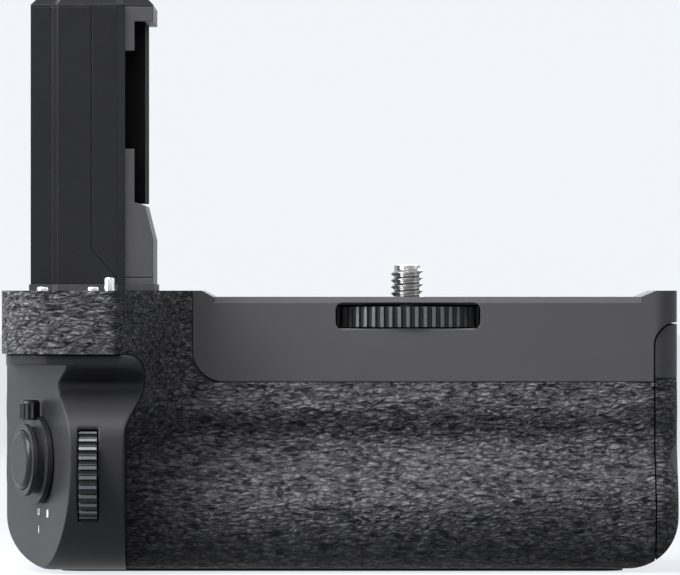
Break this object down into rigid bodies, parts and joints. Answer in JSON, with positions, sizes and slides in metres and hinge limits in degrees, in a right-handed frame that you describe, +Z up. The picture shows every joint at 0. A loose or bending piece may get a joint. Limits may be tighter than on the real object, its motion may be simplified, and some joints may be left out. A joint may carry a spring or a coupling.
{
  "type": "camera battery grip",
  "caption": "Battery grip for a camera: metal deck with a thumb wheel and screw, battery stalk, leather front, side-loading battery tray, dials and buttons.",
  "frame": {"origin": "where the axis of the tripod socket meets the bottom face", "axes": "+Z up along the camera screw, +X along the grip towards the battery door, -Y out of the leather front"},
  "size_m": [0.1297, 0.0716, 0.11],
  "materials": {
    "satin_metal": "satin anodised dark grey",
    "leather": "fine pebble grain, matte",
    "smooth_plastic": "smooth, lightly satin",
    "fine_plastic": "fine spark-eroded grain",
    "black_metal": "black anodised, satin",
    "rubber": "matte black",
    "bright_steel": "bright turned steel",
    "chrome": "polished",
    "brass": "gold plated",
    "sheet_steel": "plain sheet",
    "circuit_board": "green solder mask",
    "black_screw": "black oxide",
    "felt": "black, deep matt"
  },
  "bodies": {
    "grip": {"top_chassis": "satin_metal", "front_cover": "fine_plastic", "front_leather": "leather", "control_panel": "smooth_plastic", "rear_cover": "fine_plastic", "thumb_rest": "leather", "bottom_plate": "fine_plastic", "foot_ring": "rubber", "tripod_socket": "bright_steel", "locating_pin": "chrome", "rim_studs": "chrome", "battery_bay": "fine_plastic", "contact_block": "fine_plastic", "battery_contacts": "brass", "lock_striker": "sheet_steel", "screw_bridge": "sheet_steel", "stalk_gasket": "rubber", "stalk_body": "fine_plastic", "stalk_latch": "black_metal", "stalk_cap": "fine_plastic", "stalk_contacts": "brass", "stalk_board": "circuit_board", "cover_holder": "fine_plastic", "shutter_collar": "black_metal", "shutter_switch": "black_metal", "front_dial_bracket": "sheet_steel", "front_dial_axle": "bright_steel", "rear_dial_bracket": "sheet_steel", "rear_dial_axle": "bright_steel", "main_board": "circuit_board", "side_board": "circuit_board", "rear_switches": "black_metal", "side_switches": "black_metal", "board_connectors": "fine_plastic", "selector_base": "fine_plastic", "deck_fasteners": "black_screw", "bottom_fasteners": "black_screw", "stalk_fasteners": "black_screw", "holder_pad": "felt"},
    "attachment": {"attachment_wheel": "black_metal", "attachment_screw": "bright_steel"},
    "shutter": {"shutter_button": "black_metal"},
    "lever": {"power_lever": "black_metal"},
    "front_wheel": {"front_dial": "black_metal"},
    "rear_wheel": {"rear_dial": "black_metal"},
    "focus": {"focus_button": "fine_plastic"},
    "hold": {"hold_button": "fine_plastic"},
    "custom_1": {"custom_button_1": "fine_plastic"},
    "custom_2": {"custom_button_2": "fine_plastic"},
    "yoke": {"selector_yoke": "sheet_steel"},
    "stick": {"selector_stick": "bright_steel"},
    "cap": {"selector_cap": "rubber"},
    "tray": {"battery_tray": "fine_plastic", "tray_contacts": "brass", "tray_end_cover": "fine_plastic", "end_cover_leather": "leather", "tray_fasteners": "black_screw"},
    "lock": {"lock_knob": "fine_plastic", "lock_dog": "sheet_steel"},
    "tab": {"finger_tab": "black_metal"}
  },
  "joints": [
    {"name": "attachment_turn", "type": "hinge", "parent": "grip", "child": "attachment", "pos_m": [0, 0, 0.049], "axis": [0, 0, 1], "continuous": true},
    {"name": "shutter_press", "type": "slide", "parent": "grip", "child": "shutter", "axis": [0.9397, 0.342, 0], "range_m": [0, 0.0011], "stiffness_N_per_m": 1400},
    {"name": "lever_turn", "type": "hinge", "parent": "grip", "child": "lever", "pos_m": [-0.0704, -0.027, 0.0217], "axis": [-0.9397, -0.342, 0], "range_deg": [0, 35]},
    {"name": "front_dial_turn", "type": "hinge", "parent": "grip", "child": "front_wheel", "pos_m": [-0.0614, -0.0358, 0.0196], "axis": [1, 0, 0], "continuous": true},
    {"name": "rear_dial_turn", "type": "hinge", "parent": "grip", "child": "rear_wheel", "pos_m": [-0.0698, 0.0143, 0.018], "axis": [1, 0, 0], "continuous": true},
    {"name": "focus_press", "type": "slide", "parent": "grip", "child": "focus", "axis": [0, -1, 0], "range_m": [0, 0.0006], "stiffness_N_per_m": 1500},
    {"name": "hold_press", "type": "slide", "parent": "grip", "child": "hold", "axis": [0, -1, 0], "range_m": [0, 0.0006], "stiffness_N_per_m": 1500},
    {"name": "custom_1_press", "type": "slide", "parent": "grip", "child": "custom_1", "axis": [1, 0, 0], "range_m": [0, 0.0006], "stiffness_N_per_m": 1500},
    {"name": "custom_2_press", "type": "slide", "parent": "grip", "child": "custom_2", "axis": [1, 0, 0], "range_m": [0, 0.0006], "stiffness_N_per_m": 1500},
    {"name": "selector_tilt_up", "type": "hinge", "parent": "grip", "child": "yoke", "pos_m": [-0.057, 0.0191, 0.021], "axis": [1, 0, 0], "range_deg": [-8, 8], "stiffness_Nm_per_rad": 0.02},
    {"name": "selector_tilt_side", "type": "hinge", "parent": "yoke", "child": "stick", "pos_m": [-0.057, 0.0191, 0.021], "axis": [0, 0, 1], "range_deg": [-8, 8], "stiffness_Nm_per_rad": 0.02},
    {"name": "selector_press", "type": "slide", "parent": "stick", "child": "cap", "axis": [0, -1, 0], "range_m": [0, 0.0004], "stiffness_N_per_m": 1500},
    {"name": "tray_slide", "type": "slide", "parent": "grip", "child": "tray", "axis": [1, 0, 0], "range_m": [0, 0.115]},
    {"name": "lock_turn", "type": "hinge", "parent": "tray", "child": "lock", "pos_m": [0.0485, -0.0128, 0.0172], "axis": [1, 0, 0], "range_deg": [-90, 0]},
    {"name": "finger_tab_turn", "type": "hinge", "parent": "lock", "child": "tab", "pos_m": [0.05145, -0.0128, 0.0172], "axis": [0, 0, -1], "range_deg": [0, 90]}
  ]
}
